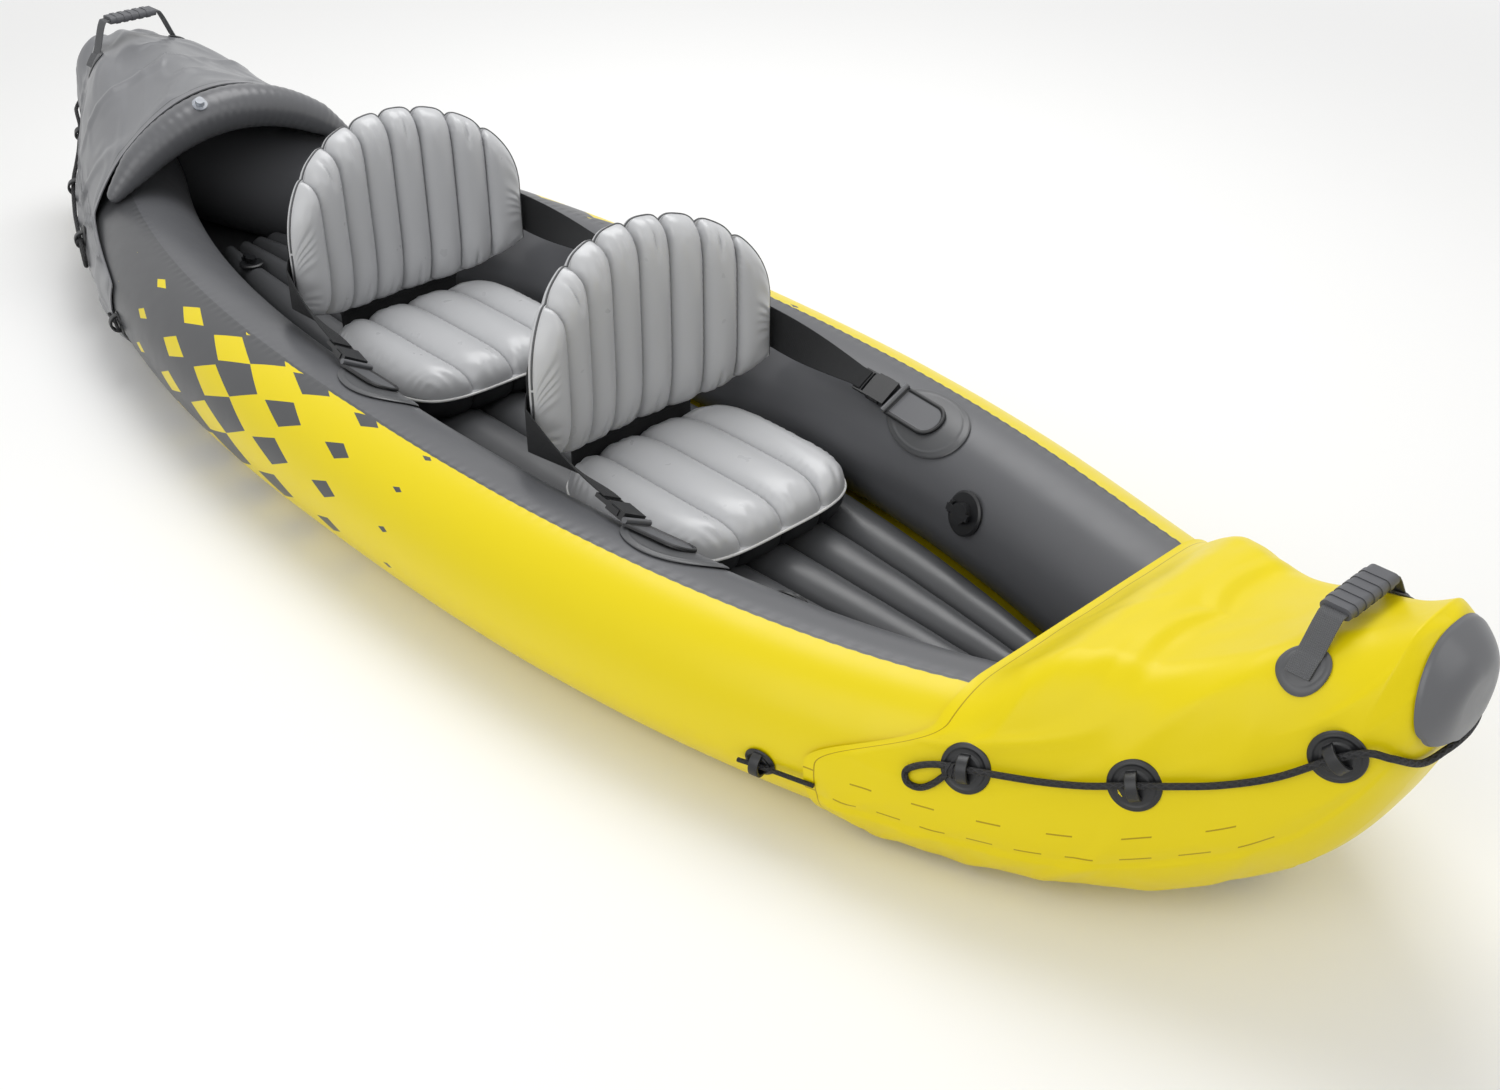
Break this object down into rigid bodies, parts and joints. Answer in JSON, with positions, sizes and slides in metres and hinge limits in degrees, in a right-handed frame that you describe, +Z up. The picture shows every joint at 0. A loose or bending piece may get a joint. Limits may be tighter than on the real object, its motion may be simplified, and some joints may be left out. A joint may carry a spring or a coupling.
{
  "type": "tandem inflatable kayak",
  "caption": "Long two-seat inflatable kayak with upswept covered ends, reclining backrests on straps, grab ropes, swinging carry handles and capped valves.",
  "frame": {"origin": "under the middle of the bottom panel, at the height of the ground", "axes": "+X to the bow, +Y to port, +Z up"},
  "size_m": [3.1194, 0.9114, 0.4859],
  "materials": {
    "yellow_vinyl": "satin calendered vinyl",
    "grey_vinyl": "satin calendered vinyl",
    "dark_vinyl": "satin calendered vinyl",
    "black_vinyl": "matt",
    "seat_vinyl": "satin welded vinyl",
    "black_cloth": "woven",
    "black_webbing": "woven",
    "grey_webbing": "woven",
    "black_rope": "braided",
    "black_plastic": "moulded",
    "grey_rubber": "moulded",
    "clear_plastic": "moulded"
  },
  "bodies": {
    "root": {"hull_bottom": "yellow_vinyl", "port_side_chamber": "yellow_vinyl", "starboard_side_chamber": "yellow_vinyl", "floor_mat": "dark_vinyl", "bow_cover": "yellow_vinyl", "stern_cover": "grey_vinyl", "stern_coaming": "grey_vinyl", "bow_splash_bolster": "yellow_vinyl", "bow_nose_patch": "grey_vinyl", "stern_nose_patch": "grey_vinyl", "bow_wear_patch": "black_vinyl", "bow_rope_holders": "black_plastic", "stern_rope_holders": "black_plastic", "lace_holders": "black_plastic", "bow_grab_rope": "black_rope", "stern_grab_rope": "black_rope", "cover_laces": "black_rope", "bow_handle_discs": "grey_vinyl", "stern_handle_discs": "grey_vinyl", "port_valve": "black_plastic", "starboard_valve": "black_plastic", "floor_valve": "black_plastic", "coaming_valve": "clear_plastic", "front_cushion": "seat_vinyl", "front_hinge_hem": "black_cloth", "rear_cushion": "seat_vinyl", "rear_hinge_hem": "black_cloth", "anchor_patches": "dark_vinyl", "anchor_tabs": "grey_vinyl", "strap_buckles": "black_plastic"},
    "front_back": {"front_backrest": "seat_vinyl", "front_back_sleeve": "black_cloth", "front_back_valve": "clear_plastic", "front_port_strap": "black_webbing", "front_starboard_strap": "black_webbing"},
    "front_stopper": {"front_back_stopper": "clear_plastic"},
    "rear_back": {"rear_backrest": "seat_vinyl", "rear_back_sleeve": "black_cloth", "rear_back_valve": "clear_plastic", "rear_port_strap": "black_webbing", "rear_starboard_strap": "black_webbing"},
    "rear_stopper": {"rear_back_stopper": "clear_plastic"},
    "bow_handle": {"bow_handle_strap": "grey_webbing", "bow_handle_grip": "grey_rubber"},
    "stern_handle": {"stern_handle_strap": "grey_webbing", "stern_handle_grip": "grey_rubber"},
    "port_cap": {"port_valve_cap": "black_plastic"},
    "starboard_cap": {"starboard_valve_cap": "black_plastic"},
    "floor_cap": {"floor_valve_cap": "black_plastic"},
    "coaming_stopper": {"coaming_valve_stopper": "clear_plastic"},
    "front_port_upper": {"front_port_tang_upper": "black_plastic"},
    "front_port_lower": {"front_port_tang_lower": "black_plastic"},
    "front_starboard_upper": {"front_starboard_tang_upper": "black_plastic"},
    "front_starboard_lower": {"front_starboard_tang_lower": "black_plastic"},
    "rear_port_upper": {"rear_port_tang_upper": "black_plastic"},
    "rear_port_lower": {"rear_port_tang_lower": "black_plastic"},
    "rear_starboard_upper": {"rear_starboard_tang_upper": "black_plastic"},
    "rear_starboard_lower": {"rear_starboard_tang_lower": "black_plastic"}
  },
  "joints": [
    {"name": "front_back_hinge", "type": "hinge", "parent": "root", "child": "front_back", "pos_m": [0.235, 0, 0.15454], "axis": [0, 1, 0], "range_deg": [-12, 20], "deforming": ["front_port_strap", "front_starboard_strap"]},
    {"name": "front_stopper_pull", "type": "slide", "parent": "front_back", "child": "front_stopper", "axis": [-0.9978, 0, 0.066], "range_m": [0, 0.012]},
    {"name": "rear_back_hinge", "type": "hinge", "parent": "root", "child": "rear_back", "pos_m": [-0.41, 0, 0.15454], "axis": [0, 1, 0], "range_deg": [-12, 20], "deforming": ["rear_port_strap", "rear_starboard_strap"]},
    {"name": "rear_stopper_pull", "type": "slide", "parent": "rear_back", "child": "rear_stopper", "axis": [-0.9978, 0, 0.066], "range_m": [0, 0.012]},
    {"name": "bow_handle_swing", "type": "hinge", "parent": "root", "child": "bow_handle", "pos_m": [1.417, 0, 0.39228], "axis": [0, 1, 0], "range_deg": [-75, 14], "deforming": ["bow_handle_strap"]},
    {"name": "stern_handle_swing", "type": "hinge", "parent": "root", "child": "stern_handle", "pos_m": [-1.32, 0, 0.38953], "axis": [0, 1, 0], "range_deg": [-50, 45], "deforming": ["stern_handle_strap"]},
    {"name": "port_cap_hinge", "type": "hinge", "parent": "root", "child": "port_cap", "pos_m": [0.74051, 0.1685, 0.15833], "axis": [-0.065, -0.3189, -0.9456], "range_deg": [0, 90]},
    {"name": "starboard_cap_hinge", "type": "hinge", "parent": "root", "child": "starboard_cap", "pos_m": [0.74051, -0.1685, 0.15833], "axis": [0.065, -0.3189, 0.9456], "range_deg": [0, 90]},
    {"name": "floor_cap_hinge", "type": "hinge", "parent": "root", "child": "floor_cap", "pos_m": [-0.8878, -0.04836, 0.08354], "axis": [0, -1, 0], "range_deg": [0, 90]},
    {"name": "coaming_stopper_pull", "type": "slide", "parent": "root", "child": "coaming_stopper", "axis": [0.5558, -0.1499, 0.8177], "range_m": [0, 0.012]},
    {"name": "front_port_upper_press", "type": "slide", "parent": "root", "child": "front_port_upper", "axis": [-0.021, -0.8577, -0.5138], "range_m": [0, 0.0028], "stiffness_N_per_m": 900},
    {"name": "front_port_lower_press", "type": "slide", "parent": "root", "child": "front_port_lower", "axis": [0.021, 0.8577, 0.5138], "range_m": [0, 0.0028], "stiffness_N_per_m": 900},
    {"name": "front_starboard_upper_press", "type": "slide", "parent": "root", "child": "front_starboard_upper", "axis": [-0.021, 0.8577, -0.5138], "range_m": [0, 0.0028], "stiffness_N_per_m": 900},
    {"name": "front_starboard_lower_press", "type": "slide", "parent": "root", "child": "front_starboard_lower", "axis": [0.021, -0.8577, 0.5138], "range_m": [0, 0.0028], "stiffness_N_per_m": 900},
    {"name": "rear_port_upper_press", "type": "slide", "parent": "root", "child": "rear_port_upper", "axis": [0.062, -0.8591, -0.5081], "range_m": [0, 0.0028], "stiffness_N_per_m": 900},
    {"name": "rear_port_lower_press", "type": "slide", "parent": "root", "child": "rear_port_lower", "axis": [-0.062, 0.8591, 0.5081], "range_m": [0, 0.0028], "stiffness_N_per_m": 900},
    {"name": "rear_starboard_upper_press", "type": "slide", "parent": "root", "child": "rear_starboard_upper", "axis": [0.062, 0.8591, -0.5081], "range_m": [0, 0.0028], "stiffness_N_per_m": 900},
    {"name": "rear_starboard_lower_press", "type": "slide", "parent": "root", "child": "rear_starboard_lower", "axis": [-0.062, -0.8591, 0.5081], "range_m": [0, 0.0028], "stiffness_N_per_m": 900}
  ],
  "couplings": [
    {"joint": "front_port_lower_press", "follows": "front_port_upper_press", "ratio": 1},
    {"joint": "front_starboard_lower_press", "follows": "front_starboard_upper_press", "ratio": 1},
    {"joint": "rear_port_lower_press", "follows": "rear_port_upper_press", "ratio": 1},
    {"joint": "rear_starboard_lower_press", "follows": "rear_starboard_upper_press", "ratio": 1}
  ]
}
